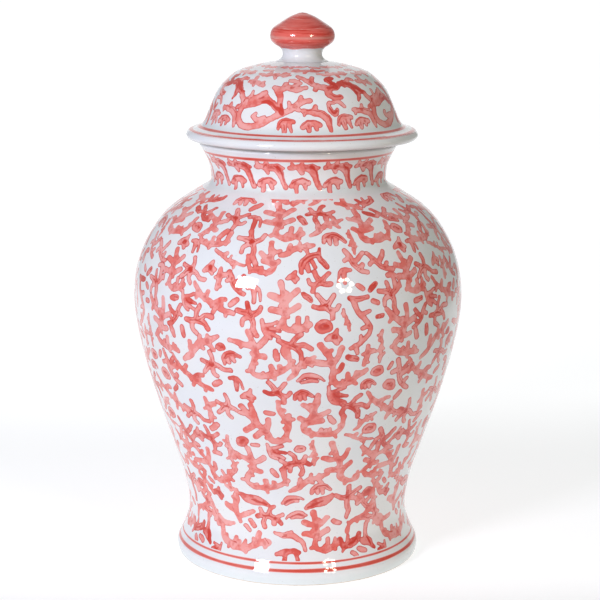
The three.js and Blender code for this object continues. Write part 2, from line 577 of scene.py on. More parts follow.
def coral_paint():
    """Underglaze brushwork: a cloudy wash, pools where strokes cross, and some drawn outlines."""
    material, tree, shader = new_material("coral_paint")
    outlined = attribute(tree, "outline")
    depth = attribute(tree, "depth")
    cloud = ranged(tree, noise(tree, 80, 4.0, 0.65), 0.38, 0.62)
    thin = times(tree, ranged(tree, depth, 0.5, 2.0), outlined)
    wash_tone = attribute(tree, "tone")
    tone = maths(tree, "ADD", times(tree, wash_tone, 0.62), ranged(tree, cloud, 0, 1, -0.07, 0.57))
    tone = maths(tree, "SUBTRACT", tone, times(tree, thin, 0.20))
    wash = mixed(tree, tone, CORAL_PALE, CORAL)
    loaded = times(tree, ranged(tree, wash_tone, 0.78, 1.0), ranged(tree, cloud, 0, 1, 0.15, 0.80))
    wash = mixed(tree, loaded, wash, CORAL_DARK)
    crossing = ranged(tree, attribute(tree, "pool"), 1.2, 2.4)
    kept = maths(tree, "ADD", times(tree, outlined, 0.45), 0.50)
    blotch = times(tree, ranged(tree, noise(tree, 150, 3.0), 0.42, 0.56), kept)
    pooled = mixed(tree, times(tree, crossing, blotch), wash, CORAL_DARK)
    broken = ranged(tree, noise(tree, 60, 2.0), 0.42, 0.60, 0.10, 0.75)
    drawn = maths(tree, "ADD", broken, times(tree, outlined, 0.55))
    edge = times(tree, ranged(tree, depth, 0.25, 0.85, 1.0, 0.0), drawn)
    edged = mixed(tree, edge, pooled, CORAL_LINE)
    lines = ranged(tree, attribute(tree, "ink"), -0.40, 0.35, 0.90, 0.0)
    tree.links.new(mixed(tree, lines, edged, CORAL_DARK), shader.inputs["Base Color"])
    glossy(tree, shader)
    return material


def band_paint():
    """The brushed rings: dense colour in the middle, thinner and pinker at the edges."""
    material, tree, shader = new_material("band_paint")
    dense = ranged(tree, attribute(tree, "depth"), 0.1, 0.75)
    load = ranged(tree, noise(tree, 30, 3.0, 0.6), 0.35, 0.65, 0.72, 1.0)
    colour = mixed(tree, times(tree, dense, load), CORAL_PALE, CORAL_BAND)
    tree.links.new(colour, shader.inputs["Base Color"])
    glossy(tree, shader)
    return material


def knob_paint():
    """The knob: coral brushed on while it turned, over white, with a white stem and a painted sheen.
    """
    material, tree, shader = new_material("knob_paint")
    streaks = noise(tree, 60, 4.0, 0.62, stretch=(0.6, 0.6, 9.0))
    shade = mixed(tree, ranged(tree, streaks, 0.34, 0.60), CORAL_DARK, CORAL)
    thin = ranged(tree, noise(tree, 75, 3.0, 0.6, stretch=(0.5, 0.5, 8.0)), 0.56, 0.72)
    streaked = mixed(tree, thin, shade, KNOB_THIN)
    # Painted sheen: the ring layer lays a pale band round the knob's widest point.
    bare = mixed(tree, attribute(tree, "ring"), streaked, KNOB_PAINTED_SHEEN)
    white = mixed(tree, attribute(tree, "hollow"), WHITE, WHITE_POOLED)
    colour = mixed(tree, attribute(tree, "painted"), white, bare)
    tree.links.new(colour, shader.inputs["Base Color"])
    glossy(tree, shader, 0.08, 0.14)
    return material


def bare_clay():
    """Unglazed biscuit, with turning lines and a little grime."""
    material, tree, shader = new_material("bare_clay")
    grime = ranged(tree, noise(tree, 45, 5.0, 0.65), 0.42, 0.70)
    tree.links.new(mixed(tree, grime, CLAY, CLAY_DARK), shader.inputs["Base Color"])
    tree.links.new(ranged(tree, noise(tree, 400, 3.0), 0.2, 0.8, 0.72, 0.95),
                   shader.inputs["Roughness"])
    bumped(tree, shader, noise(tree, 500, 4.0, 0.6, stretch=(0.15, 0.15, 3.0)), 0.5, 0.0003)
    return material


WHITE_GLAZE = white_glaze()
CORAL_PAINT = coral_paint()
BAND_PAINT = band_paint()
KNOB_PAINT = knob_paint()
BARE_CLAY = bare_clay()


def zoned(piece, profile, turns, is_bare):
    """White glaze, with bare clay on the rows of a revolved profile that is_bare picks."""
    piece.data.materials.append(WHITE_GLAZE)
    piece.data.materials.append(BARE_CLAY)
    middle = (profile[:-1] + profile[1:]) / 2
    ring = middle[1:-1] if profile[0][0] < 1e-6 else middle
    rows = is_bare(ring[:, 0], ring[:, 1]).astype(np.int32)
    face_rows = np.zeros(len(piece.data.polygons), np.int32)
    face_rows[:len(rows) * turns] = np.repeat(rows, turns)
    piece.data.polygons.foreach_set("material_index", face_rows)


# ---------------------------------------------------------------- jar

JAR_WALL = 5.5
JAR_FLOOR = 15
JAR_INSIDE = JAR_FLOOR + 13
LIP = 2.2
FOOT_RING = 84
BARE_FOOT = 1.3
NECK_FOOT = 318
TURNS = 256

JAR_BODY = smooth_run([
    (103.3, 9), (96.4, 24), (92.8, 42), (97.6, 71), (108, 103), (119.2, 136), (128.6, 168),
    (135.2, 199), (137.4, 224), (134.3, 249), (124.8, 273), (107.2, 296), (75.5, 317),
], 2.2)
JAR_NECK = smooth_run([
    (75.5, 317), (73.1, 319.6), (72.8, 323), (74, 332.5), (77, 340), (81.2, RIM - 6),
    (82.5, RIM - 4),
], 1.2)
RIM_ROUND = 3.6
JAR_RIM = rounded((79.0, RIM - RIM_ROUND), RIM_ROUND, 0, 90)


def hollow_mark(heights, centres, reach):
    """How much glaze has run together near each of some heights, from 0 to 1."""
    nearest = np.min(np.abs(heights[:, None] - np.array(centres)[None]), 1)
    return 1 - soft_step(nearest, 0, reach)


def make_jar():
    """The jar: under the foot, up the outside, over the rim, down the inside and in to the axis."""
    foot = np.vstack([
        [(0, 7.4), (40, 7.2), (76, 7)],
        rounded((79.5, 5.2), 1.8, 90, 10, 4),
        rounded((85.4, 1.6), 1.6, 190, 270, 4),
        rounded((100.9, 1.6), 1.6, 270, 340, 5),
        [(103.0, 3), (103.45, 6)],
    ])
    outside = np.vstack([JAR_BODY, JAR_NECK[1:], JAR_RIM])
    climbing = np.vstack([JAR_BODY[JAR_BODY[:, 1] > JAR_INSIDE][::3], JAR_NECK[6:-3:3]])
    inside = wall_inside(climbing, JAR_WALL)
    lip = rounded((inside[0, 0] + LIP, RIM - LIP), LIP, 90, 180, 4)
    corner_x = inside[-1, 0]
    floor = [(corner_x - 2.5, JAR_FLOOR + 5), (corner_x - 8, JAR_FLOOR + 1),
             (corner_x - 16, JAR_FLOOR), (0, JAR_FLOOR)]
    profile = np.vstack([foot, outside, lip, inside, floor])
    jar = revolve("jar_glaze", profile, "jar", TURNS)
    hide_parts("jar_body")

    def is_bare(radius, height):
        foot_ring = (height < BARE_FOOT) & (radius > FOOT_RING)
        return foot_ring | (height > RIM - 0.5)

    zoned(jar, profile, TURNS, is_bare)
    marks = hollow_mark(profile[1:-1, 1], (NECK_FOOT, 4), 6) * 0.6
    store(jar, "hollow", np.append(np.repeat(marks, TURNS), (0, 0)))


# ---------------------------------------------------------------- lid

LID_DOME = smooth_run([
    (96.3, SEAT + 4.2), (94.0, SEAT + 7.6), (88, SEAT + 9.4), (83.2, SEAT + 12.2),
    (80.1, SEAT + 17), (76.5, SEAT + 25.9), (69.4, SEAT + 40.9), (61, SEAT + 50),
    (51.5, SEAT + 56.4), (34, SEAT + 61.3), (20, DOME_TOP),
], 1.6)
LID_WALL = 5
LID_INSIDE = SEAT + 18.4
LEDGE = SEAT + 6
LEDGE_OUT = 84
BRIM_EDGE = 4.2
BRIM_REACH = 92.1
COLLAR_OUT = (COLLAR_HIGH.x - COLLAR_LOW.x) / 2 / MM
COLLAR_WALL = 5
COLLAR_EDGE = 1.5
COLLAR_TURNS = 192


def make_lid():
    """The lid's shell: from inside the top, down to the ledge, under the brim and up the dome."""
    inside = wall_inside(LID_DOME[LID_DOME[:, 1] > LID_INSIDE][::2], LID_WALL)
    mouth = COLLAR_OUT - COLLAR_WALL
    low_corner = inside[-1, 0]
    profile = np.vstack([
        [(0, DOME_TOP - LID_WALL)],
        inside,
        [(low_corner - 2, LEDGE + 3), (low_corner - 8, LEDGE), (mouth, LEDGE)],
        [(mouth, SEAT), (LEDGE_OUT, SEAT)],
        rounded((BRIM_REACH, SEAT + BRIM_EDGE), BRIM_EDGE, 270, 356, 9),
        LID_DOME,
        [(0, DOME_TOP)],
    ])
    lid = revolve("lid_glaze", profile, "lid", TURNS, LID_AXIS_X)
    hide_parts("lid_dome")
    zoned(lid, profile, TURNS,
          lambda radius, height: (height < SEAT + 0.3) & (radius < LEDGE_OUT + 1))
    marks = hollow_mark(profile[1:-1, 1], (SEAT + 13.4, DOME_TOP), 4) * 0.5
    store(lid, "hollow", np.append(np.repeat(marks, TURNS), (0, 0)))


def make_collar():
    """The ring under the lid, with faint turning lines on its sides."""
    top, edge = COLLAR_HIGH.z / MM, COLLAR_LOW.z / MM + COLLAR_EDGE
    inner = COLLAR_OUT - COLLAR_WALL
    lines = np.linspace(edge, top, 15)
    outside = np.stack([COLLAR_OUT - 0.15 - 0.12 * np.cos(lines * 2.4), lines], 1)
    inside = np.stack([inner + 0.1 + 0.1 * np.cos(lines * 2.0), lines], 1)[::-1]
    profile = np.vstack([
        rounded((COLLAR_OUT - COLLAR_EDGE, edge), COLLAR_EDGE, 270, 350, 5),
        outside,
        inside,
        rounded((inner + COLLAR_EDGE, edge), COLLAR_EDGE, 190, 270, 5)[:-1],
    ])
    collar = revolve("collar_clay", profile, "lid", COLLAR_TURNS, LID_AXIS_X)
    collar.data.materials.append(BARE_CLAY)
    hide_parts("lid_collar")


KNOB_TURNS = 160


def make_knob():
    """The knob, marked where it is painted and with a painted sheen: a pale band round its widest
    point.
    """
    foot, tip = KNOB_FOOT, KNOB_TIP
    profile = smooth_run([
        (21.4, DOME_TOP - 0.1), (18.2, foot + 1.4), (16.3, foot + 4.4), (16.8, foot + 8),
        (18.8, foot + 10.6), (22.8, foot + 13.2), (25.8, foot + 16.4), (26.6, foot + 21),
        (24.6, tip - 13), (18.4, tip - 8.4), (10.2, tip - 3.4), (3.2, tip - 0.5),
    ], 0.7)
    profile = np.vstack([[(0, DOME_TOP - 0.1)], profile, [(0, tip)]])
    knob = revolve("knob_glaze", profile, "lid", KNOB_TURNS, LID_AXIS_X, wobble=False)
    knob.data.materials.append(KNOB_PAINT)
    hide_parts("lid_knob")
    azimuth = np.arange(KNOB_TURNS) * FULL_TURN / KNOB_TURNS
    height = profile[1:-1, 1][:, None]
    edge = foot + 10.4 + 0.35 * np.sin(3 * azimuth) + 0.25 * np.sin(7 * azimuth + 1)
    painted = soft_step(height, edge - 0.35, edge + 0.35)
    # The ring is painted sheen: a pale band round the widest point, where the lamps' sheen falls.
    widest = foot + 19.5
    ring = 0.75 * np.exp(-((height - widest) / 1.1) ** 2) * (0.8 + 0.2 * np.sin(4 * azimuth))
    hollow = np.repeat(hollow_mark(profile[1:-1, 1], (foot + 1,), 5) * 0.5, KNOB_TURNS)
    store(knob, "painted", np.append(painted, (0, 1)))
    store(knob, "ring", np.append(ring, (0, 0)))
    store(knob, "hollow", np.append(hollow, (0, 0)))


# ---------------------------------------------------------------- painted bands

BAND_TURNS = 320

# A band's cross-section: (share of its half-width, lift in millimetres).
BAND_SECTION = (
    (-1, SKIN_SUNK), (-1, SKIN_EDGE), (-0.5, SKIN_INNER), (0, SKIN_MIDDLE),
    (0.5, SKIN_INNER), (1, SKIN_EDGE), (1, SKIN_SUNK),
)


def band(name, surface, body, arcs, widths, seed):
    """Brushed lines round a surface: thin closed rings whose edges waver as the wheel turned."""
    azimuth = np.arange(BAND_TURNS) * FULL_TURN / BAND_TURNS
    vertices, faces, depths = [], [], []
    for k, (arc, width) in enumerate(zip(arcs, widths)):
        phase = seed + 1.7 * k
        middle = arc + 0.16 * np.sin(azimuth + phase) + 0.08 * np.sin(4 * azimuth + 2 * phase)
        half = width / 2 * (1 + 0.10 * np.sin(3 * azimuth + phase) + 0.07 * np.sin(11 * azimuth))
        start = len(vertices) * BAND_TURNS
        for share, lift in BAND_SECTION:
            arcs_here = middle + half * share
            vertices.append(surface.place(azimuth, arcs_here, np.full(BAND_TURNS, lift)))
            depths.append(half * (1 - abs(share)))
        faces += (ring_quads(len(BAND_SECTION), BAND_TURNS, True) + start).tolist()
    piece = new_piece(name, np.vstack(vertices), faces, body)
    piece.data.materials.append(BAND_PAINT)
    store(piece, "depth", np.concatenate(depths))


# ---------------------------------------------------------------- motifs

PALE, MID, DEEP, INK = 0.1, 0.5, 0.95, -1

# Motifs painted without a drawn outline, and motifs that keep their place when others move.
SPRAYS = {"spray", "bush", "crook", "thorn", "twins", "cradle", "mast", "branch", "trail", "boat",
          "gable", "blob"}
SOFT_EDGED = SPRAYS | {"limb", "stub", "sweep", "lace", "chain", "streak"}
FIXED = SPRAYS | {"scroll", "bracket", "drop", "dragon", "spur", "leaf"}

# Strokes in millimetres: points to a stretch, the thinnest brush, and the buds along soft ones.
STROKE_PIECES = 5
THINNEST = 0.4
BUD_SPACING = 8.5
BUD_REACH = 0.9
BUD_LEAN = 1.2
BUD_WIDTHS = (2, 1.75)

# Easing motifs apart, in millimetres: the gap wanted, the moves tried, what crowding and moving
# cost, and how far away a motif still counts as a neighbour.
CLEARANCE = 1.2
NUDGES = (1.5, 3, 4.5, 6)
CROWDING_COST = 2
MOVE_COST = 0.35
NEAR_ARC = 55
NEAR_ROUND = 60

# Motifs that fill the gaps left between the others, and the scatter of places tried: multiples
# of two irrational shares, which spread evenly and never repeat.
FILLERS = ("flag", "legs", "sprite", "shell", "ring", "stub", "hand", "pill", "limb", "pill")
FILL_TRIES = 420
FILL_SIZES = (1, 0.8)
FILL_TURN = 25
FILL_CLEARANCE = 0.96
SCATTER_ROUND = 0.6180340
SCATTER_ARC = 0.7548777

# Each motif is a list of strokes, (tone, [(x, y, half-width) in millimetres, ...]), y up the jar.
# The belly's follow the kinds of figure on the photographed jar, simplified and used again. The
# big ones on the lid and the neck's frieze follow single painted figures, read off an
# enlargement of the photo.
MOTIFS = {
    # Coral sprays: a bent trunk with fingers, and a bumpy base that runs off to one side.
    "spray": [
        (MID, [(-18, 12, 2.2), (-9, 6, 2.6), (-1, 1, 2.8), (-2, -6, 2.7), (-7, -12, 2.6),
               (-10, -18, 2.4), (-6, -23, 2.6), (4, -25, 2.8), (15, -24, 2.6), (24, -20, 2.3)]),
        (PALE, [(-1, 14, 2.6), (0, 3, 2.4)]),
        (PALE, [(10, 4, 2.7), (5, 1, 2.6), (0, 0, 2.4)]),
        (MID, [(4, -9, 2.7), (-2, -6, 2.5)]),
        (MID, [(6, -25, 2.4), (6, -18, 2.3)]),
        (MID, [(11, -25, 2.2), (12, -20, 1.7)]),
        (PALE, [(22, -21, 2.2), (23, -10, 2.5)]),
    ],
    "bush": [
        (MID, [(-4, 17, 2.6), (-1, 5, 2.6), (0, -6, 2.8), (-2, -14, 2.5), (2, -19, 2.7),
               (11, -19, 2.9), (19, -15, 2.5)]),
        (PALE, [(9, 11, 2.6), (4, 6, 2.5), (0, 2, 2.4)]),
        (MID, [(-12, 7, 2.8), (-6, 5, 2.8), (-1, 3, 2.6)]),
        (MID, [(-11, -4, 2.8), (-5, -5, 2.7), (0, -6, 2.6)]),
        (PALE, [(10, -1, 2.7), (5, -4, 2.6), (0, -7, 2.5)]),
        (MID, [(10, -18, 2.4), (10, -10, 2.1)]),
        (MID, [(16, -16, 2.2), (17, -10, 1.8)]),
    ],
    "crook": [
        (MID, [(-16, 19, 2.4), (-9, 12, 2.9), (0, 6, 2.9), (1, 0, 2.6), (-2, -5, 2.6),
               (-7, -10, 2.5), (-5, -15, 2.6), (3, -19, 2.8), (12, -19, 2.7), (19, -20, 2.1)]),
        (MID, [(3, 20, 2.7), (4, 13, 2.5), (2, 6, 2.4)]),
        (PALE, [(12, 9, 2.6), (7, 7, 2.4), (1, 3, 2.4)]),
        (MID, [(-9, 2, 2.6), (-5, 1, 2.5), (-1, -2, 2.5)]),
        (MID, [(8, -3, 2.4), (4, -4, 2.4), (-1, -4, 2.4)]),
        (MID, [(7, -18, 2.4), (7, -11, 2.1)]),
        (MID, [(14, -19, 2.1), (14, -15, 1.8)]),
    ],
    "thorn": [
        (MID, [(-11, 14, 2.6), (-6, 8, 2.7), (-2, 1, 2.7), (0, -8, 2.7), (0, -15, 2.7),
               (5, -20, 2.7), (13, -19, 2.8), (20, -14, 2.4), (28, -9, 2.2)]),
        (MID, [(6, 11, 2.6), (4, 5, 2.6), (0, -1, 2.6)]),
        (PALE, [(-17, 0, 2.6), (-9, -1, 2.8), (-2, -2, 2.6)]),
        (DEEP, [(7, -3, 2.2), (5, -8, 2.4), (0, -9, 2.4)]),
        (MID, [(13, -18, 2.3), (12, -11, 2)]),
        (MID, [(18, -15, 2.1), (19, -10, 1.7)]),
    ],
    "twins": [
        (MID, [(0, 16, 2.7), (0, 6, 2.8), (-1, -4, 2.6), (-5, -11, 2.6), (-4, -17, 2.5),
               (4, -19, 2.6), (14, -18, 2.8), (21, -16, 2.5), (25, -9, 2.3), (25, -1, 2.4)]),
        (PALE, [(11, 3, 2.5), (6, -1, 2.6), (0, -4, 2.6)]),
        (PALE, [(-10, 6, 2.2), (-5, 4, 2.4), (0, 0, 2.6)]),
        (MID, [(-10, -6, 2.5), (-5, -9, 2.6), (-2, -9, 2.5)]),
        (MID, [(8, -6, 2.5), (3, -8, 2.5), (-2, -9, 2.5)]),
        (MID, [(9, -18, 2.4), (9, -14, 2)]),
        (MID, [(16, -17, 2.1), (16, -13, 1.7)]),
    ],
    "cradle": [
        (MID, [(-9, 20, 2.6), (-5, 9, 2.7), (-2, 1, 2.7), (2, -8, 2.8), (4, -16, 2.7),
               (10, -19, 2.6), (16, -15, 2.6), (21, -7, 2.6), (25, 2, 2.5)]),
        (MID, [(-1, 19, 2.5), (-1, 11, 2.6), (-2, 4, 2.5)]),
        (MID, [(-14, -2, 2.6), (-8, 0, 2.8), (-2, 1, 2.6)]),
        (MID, [(-8, -9, 2.6), (-3, -7, 2.7), (2, -7, 2.6)]),
        (MID, [(8, 3, 2.3), (6, -2, 2.4), (2, -7, 2.4)]),
        (PALE, [(22, 16, 2.3), (20, 9, 2.3), (22, -3, 2.3)]),
    ],
    "mast": [
        (PALE, [(-3, 20, 2.5), (-2, 10, 2.6), (0, 0, 2.5), (0, -9, 2.6), (-2, -15, 2.5),
                (4, -21, 2.4), (12, -22, 2.2), (14, -16, 2)]),
        (MID, [(-12, 8, 2.6), (-7, 5, 2.6), (0, 3, 2.4)]),
        (MID, [(9, 9, 2.4), (5, 4, 2.4), (0, 0, 2.4)]),
        (MID, [(-11, -5, 2.6), (-6, -6, 2.6), (0, -9, 2.4)]),
        (MID, [(9, -4, 2.3), (4, -7, 2.4), (0, -10, 2.4)]),
    ],
    # Single branches.
    "branch": [
        (MID, [(-13, 27, 1.8), (-11, 17, 2.3), (-7, 9, 2.5), (0, 1, 2.7), (6, -7, 2.6),
               (13, -13, 2.2)]),
        (MID, [(-8, 9, 2.3), (-2, 14, 2.2)]),
        (MID, [(-11, 17, 2.1), (-16, 14, 1.8)]),
        (DEEP, [(0, 2, 2.3), (6, 3, 2.3), (11, 1, 2.2)]),
        (MID, [(1, -1, 2.3), (-5, -4, 2)]),
    ],
    "limb": [
        (PALE, [(-16, -6, 1.9), (-9, -2, 2.4), (-3, 4, 2.4), (4, 6, 2.5), (11, 9, 1.8)]),
        (PALE, [(-9, -2, 2.1), (-9, 5, 2)]),
        (PALE, [(3, 6, 2.1), (7, 1, 1.8)]),
        (PALE, [(-2, 4, 2), (-1, 9, 1.6)]),
    ],
    "stub": [
        (MID, [(-9, 3, 2.5), (-3, 1, 2.7), (3, -1, 2.7), (9, -5, 2.5)]),
        (MID, [(-3, 1, 2.4), (-2, 8, 2.4)]),
    ],
    "trail": [
        (MID, [(-9, 24, 1.9), (-7, 14, 2.4), (-3, 5, 2.5), (2, -4, 2.8), (8, -13, 2.8),
               (13, -20, 2.2)]),
        (MID, [(-4, 7, 2.3), (3, 8, 2.2), (7, 6, 2)]),
        (MID, [(2, -5, 2.4), (8, -1, 2)]),
        (PALE, [(-7, 15, 2.1), (-13, 12, 1.8)]),
        (MID, [(4, -8, 2.4), (-2, -12, 2)]),
        (INK, [(4, -6, 0.4), (9, -14, 0.5)]),
    ],
    "fork": [
        (MID, [(-8, 11, 2.3), (-4, 4, 2.6), (-1, -4, 2.6), (5, -10, 2.5), (12, -13, 2.3)]),
        (MID, [(10, 7, 2.3), (5, 2, 2.5), (-1, -2, 2.6)]),
        (PALE, [(-4, 3, 2.3), (-10, 0, 2.3)]),
        (MID, [(4, -9, 2.3), (8, -5, 2.3)]),
        (INK, [(-4, 2, 0.4), (0, -5, 0.5), (7, -10, 0.4)]),
    ],
    "bracket": [
        (DEEP, [(-9, 8, 2), (-3, 7, 2.5), (6, 8, 2)]),
        (MID, [(-6, 6, 2.3), (-3, -2, 2.5), (3, -9, 2.4), (8, -16, 2.3), (5, -23, 2.1),
               (-2, -29, 2.2), (-8, -32, 2)]),
        (MID, [(-4, -30, 2.2), (-2, -36, 1.9)]),
        (MID, [(0, -27, 2), (0, -22, 1.7)]),
        (PALE, [(0, -5, 2.2), (7, -3, 1.9)]),
        (PALE, [(7, -14, 2.1), (1, -16, 1.8)]),
        (INK, [(-5, 8, 0.4), (4, 7.5, 0.5)]),
    ],
    # Small figures with arms, inked along their middles.
    "star": [
        (MID, [(-10, 4, 2.1), (-5, 3, 2.4), (0, 2, 2.7)]),
        (DEEP, [(-2, 10, 2.1), (-1, 6, 2.2), (0, 2, 2.6)]),
        (MID, [(9, 7, 2.1), (6, 3, 2.2), (1, 1, 2.6)]),
        (MID, [(1, 1, 2.7), (3, -5, 2.3), (3, -10, 2.1), (6, -15, 2.1)]),
        (PALE, [(0, 0, 2.2), (-5, -3, 2.1), (-6, -7, 2.1)]),
        (INK, [(-7, 3.6, 0.4), (-1, 2, 0.6), (2, -4, 0.4), (3, -9, 0.3)]),
        (INK, [(-1, 7, 0.3), (1, 1, 0.5), (6, 4, 0.3)]),
    ],
    "sprite": [
        (MID, [(-3, 10, 2), (-1, 5, 2.2), (0, 0, 2.6), (3, -6, 2.3), (2, -11, 2)]),
        (DEEP, [(-9, 3, 2), (-5, 0, 2.3), (0, -1, 2.6)]),
        (MID, [(9, 5, 2), (5, 2, 2.2), (0, 0, 2.5)]),
        (PALE, [(2, -4, 2), (7, -6, 2), (10, -4, 2)]),
        (INK, [(-6, 1, 0.4), (0, 0, 0.6), (2, -6, 0.4)]),
        (INK, [(-2, 7, 0.3), (0, 1, 0.4), (5, 2.4, 0.3)]),
    ],
    "runner": [
        (DEEP, [(-10, 4, 2.1), (-6, 2, 2.3), (0, 0, 2.9), (5, -4, 2.3), (6, -9, 2.1)]),
        (MID, [(-5, 1, 2.2), (-7, -4, 2.1), (-5, -8, 2.1)]),
        (DEEP, [(-1, 1, 2.3), (2, 6, 2.1), (6, 9, 2.1)]),
        (MID, [(2, 0, 2.3), (8, 1, 2.1), (13, -2, 2.1)]),
        (INK, [(-7, 2.6, 0.4), (-1, 0.6, 0.7), (4, -4, 0.5), (5.6, -7, 0.3)]),
        (INK, [(0, 2, 0.5), (3, 6.4, 0.3)]),
        (INK, [(2, 0, 0.5), (8, 0.8, 0.3)]),
    ],
    "walker": [
        (DEEP, [(-10, 0, 2.1), (-5, 2, 2.3), (0, 1, 2.8), (6, -1, 2.5), (10, -5, 2.1)]),
        (MID, [(0, 2, 2.3), (1, 7, 2.1), (4, 10, 2.1)]),
        (PALE, [(-5, 2, 2.1), (-7, 7, 2.1)]),
        (MID, [(-3, 0, 2.3), (-5, -5, 2.1), (-4, -9, 2.1)]),
        (MID, [(4, 0, 2.2), (4, -6, 2.1)]),
        (PALE, [(6, 0, 2.1), (11, 3, 2.1)]),
        (INK, [(-6, 1.8, 0.4), (0, 1.2, 0.7), (6, -1.2, 0.5), (8.6, -3.6, 0.3)]),
        (INK, [(0, 2, 0.5), (1.4, 6.6, 0.3)]),
        (INK, [(-3, 0, 0.4), (-4.8, -5, 0.3)]),
    ],
    "hand": [
        (PALE, [(-6, 7, 1.6), (-5, 1, 2), (-3, -4, 2), (1, -7, 1.6)]),
        (MID, [(-3, -3, 1.8), (2, -3.6, 1.7), (7, -6, 1.6)]),
        (DEEP, [(-3, 0, 2), (2, 0.4, 1.9), (8, -1, 1.6)]),
        (MID, [(-3, 3, 1.8), (2, 4.4, 1.6), (6, 6, 1.6)]),
        (INK, [(-2, 2, 0.5), (0, -0.6, 0.7), (5, -1.4, 0.4)]),
    ],
    "pill": [
        (MID, [(-3, 1, 2.2), (0, 0, 2.5), (3, -1, 2.2)]),
    ],
    "seed": [
        (DEEP, [(-3.2, 1.2, 2.2), (0, 0, 2.7), (3.4, -1.2, 2.3)]),
        (INK, [(1, 0, 0.5), (4, -1.2, 0.8)]),
    ],
    "lens": [
        (DEEP, [(-11, 4, 2.2), (-7, 1, 3.6), (-1, 0, 4.9), (6, -1, 3.8), (13, -4, 1.6)]),
        (DEEP, [(-2, 0, 2), (4, -1, 2.4), (10, -3, 1.6)]),
        (INK, [(-2, 0, 0.7), (5, -1.5, 1.2), (11, -3.5, 0.8)]),
    ],
    "shell": [
        (MID, [(-8, -4, 1.8), (-7, 1, 2.4), (-2, 4, 2.6), (4, 3, 2.4), (9, -1, 1.8)]),
        (PALE, [(-4, 1, 2.2), (-3, -4, 2)]),
        (PALE, [(1, 1, 2.2), (2, -4, 1.8)]),
        (INK, [(-7, 0, 0.5), (-2, 4, 0.8), (4, 3.4, 0.8), (8, 0, 0.5)]),
        (INK, [(-5, 0, 0.4), (-1, 2, 0.4), (4, 1, 0.4)]),
    ],
    "claw": [
        (MID, [(-8, -8, 2), (-7, -1, 2.7), (-2, 4, 2.8), (4, 6, 2.3)]),
        (PALE, [(-4, -2, 2.4), (-2, -7, 2)]),
        (MID, [(1, 0, 2), (3, -4, 1.8)]),
        (DEEP, [(7, 11, 1.5), (6, 5, 2), (9, 0, 2.3), (12, -4, 2.1)]),
        (INK, [(-8, -4, 0.5), (-5, 2, 0.8), (0, 5, 0.9), (6, 6, 0.8)]),
        (INK, [(-5, -5, 0.4), (-3, 0, 0.5), (2, 3, 0.5)]),
        (INK, [(7, 5, 0.6), (9, 1, 0.5), (12, -3, 0.4)]),
    ],
    "ring": [
        (MID, [(-4, 2, 1.8), (-1, 4, 1.8), (4, 3, 1.8), (5, -1, 1.8), (0, -3, 1.8), (-4, -2, 1.8),
               (-5, 0, 1.8)]),
        (DEEP, [(-1, 0, 1.8), (2, 1, 1.8)]),
        (INK, [(0, 1, 0.7), (3, 1, 0.9)]),
    ],
    "eye": [
        (PALE, [(-9, -2, 1.3), (-4, 2.4, 1.8), (2, 3, 2.1), (8, 0.6, 1.7), (12, -2, 1.1)]),
        (PALE, [(-6, -3.4, 1.3), (0, -2, 1.9), (6, -2.6, 1.5)]),
        (INK, [(-7, -0.6, 0.4), (-1, 1, 0.5), (6, 0, 0.4)]),
        (INK, [(-2, -2.6, 0.4), (3, -2.4, 0.3)]),
    ],
    "flag": [
        (MID, [(-6, -2, 1.8), (-1, 0, 3.2), (4, -2, 2.2)]),
        (MID, [(0, 1, 2.8), (2, 5, 1.5)]),
        (MID, [(0, -1, 2.8), (2, -5, 1.9)]),
    ],
    "legs": [
        (MID, [(-4, 4, 2), (0, 4, 2.3), (1, -1, 2.2), (1, -6, 1.8)]),
        (PALE, [(2, 4, 1.8), (5, 1, 1.3), (6, -5, 1.2)]),
    ],
    "chain": [
        (PALE, [(0, 15, 1.5), (-1, 9, 1.9), (1, 4, 1.5), (-1, -2, 1.9), (1, -8, 1.4), (0, -14, 1.8)]),
        (MID, [(-1, 9, 1.4), (-4, 11, 1.2)]),
        (MID, [(-1, -2, 1.4), (-4, -4, 1.3)]),
        (MID, [(1, -8, 1.3), (4, -6, 1.2)]),
    ],
    "lace": [
        (PALE, [(-12, 6, 1.5), (-6, 3, 1.7), (0, -1, 1.4), (6, -2, 1.5), (13, -4, 1.1)]),
        (PALE, [(0, -1, 1.3), (2, 3, 1.1)]),
        (PALE, [(6, -2, 1.3), (5, -6, 1.1)]),
    ],
    # Heavier shapes that sit along the base.
    "boat": [
        (MID, [(-14, 10, 2.4), (-12, 2, 2.9), (-5, -3, 3.1), (5, -5, 3.2), (14, -4, 2.9),
               (22, 1, 3.2), (30, 2, 3)]),
        (MID, [(-17, 17, 2.3), (-12, 13, 2.5), (-6, 13, 2.3), (-2, 14, 1.8)]),
        (MID, [(0, -4, 2.7), (1, 2, 2.4)]),
        (DEEP, [(9, -4, 2.2), (10, 1, 1.8)]),
        (PALE, [(20, 1, 2.4), (22, 9, 2.4)]),
        (INK, [(-4, -1, 0.5), (2, -2, 0.5)]),
        (INK, [(27, 5, 0.4), (31, 1, 0.6)]),
    ],
    "crown": [
        (DEEP, [(-10, 3, 2.2), (-7, -3, 3), (0, -2, 3.6), (7, 1, 3.2), (9, 5, 2.4)]),
        (MID, [(-3, 0, 2.2), (-2, 5, 1.6)]),
        (MID, [(-6, -4, 2.2), (-9, -8, 1.4)]),
        (INK, [(-3, -3, 0.6), (3, -1, 0.9), (6, 2, 0.6)]),
    ],
    "arch": [
        (MID, [(-13, 0, 2), (-7, 2, 2.5), (0, 3, 2.5), (5, 2, 2)]),
        (MID, [(-6, 2, 2.3), (-7, -5, 2)]),
        (MID, [(2, 2, 2), (4, -4, 1.9)]),
    ],
    "fan": [
        (PALE, [(-11, 4, 1.6), (-5, 2, 2.2), (2, 2, 2.6), (7, 0, 2.4), (12, -4, 2.2),
                (14, -10, 1.8)]),
        (PALE, [(-3, 2, 2.2), (2, 5, 1.9)]),
        (INK, [(-5, 1, 0.4), (3, 0, 0.4), (8, -3, 0.4)]),
    ],
    "drop": [
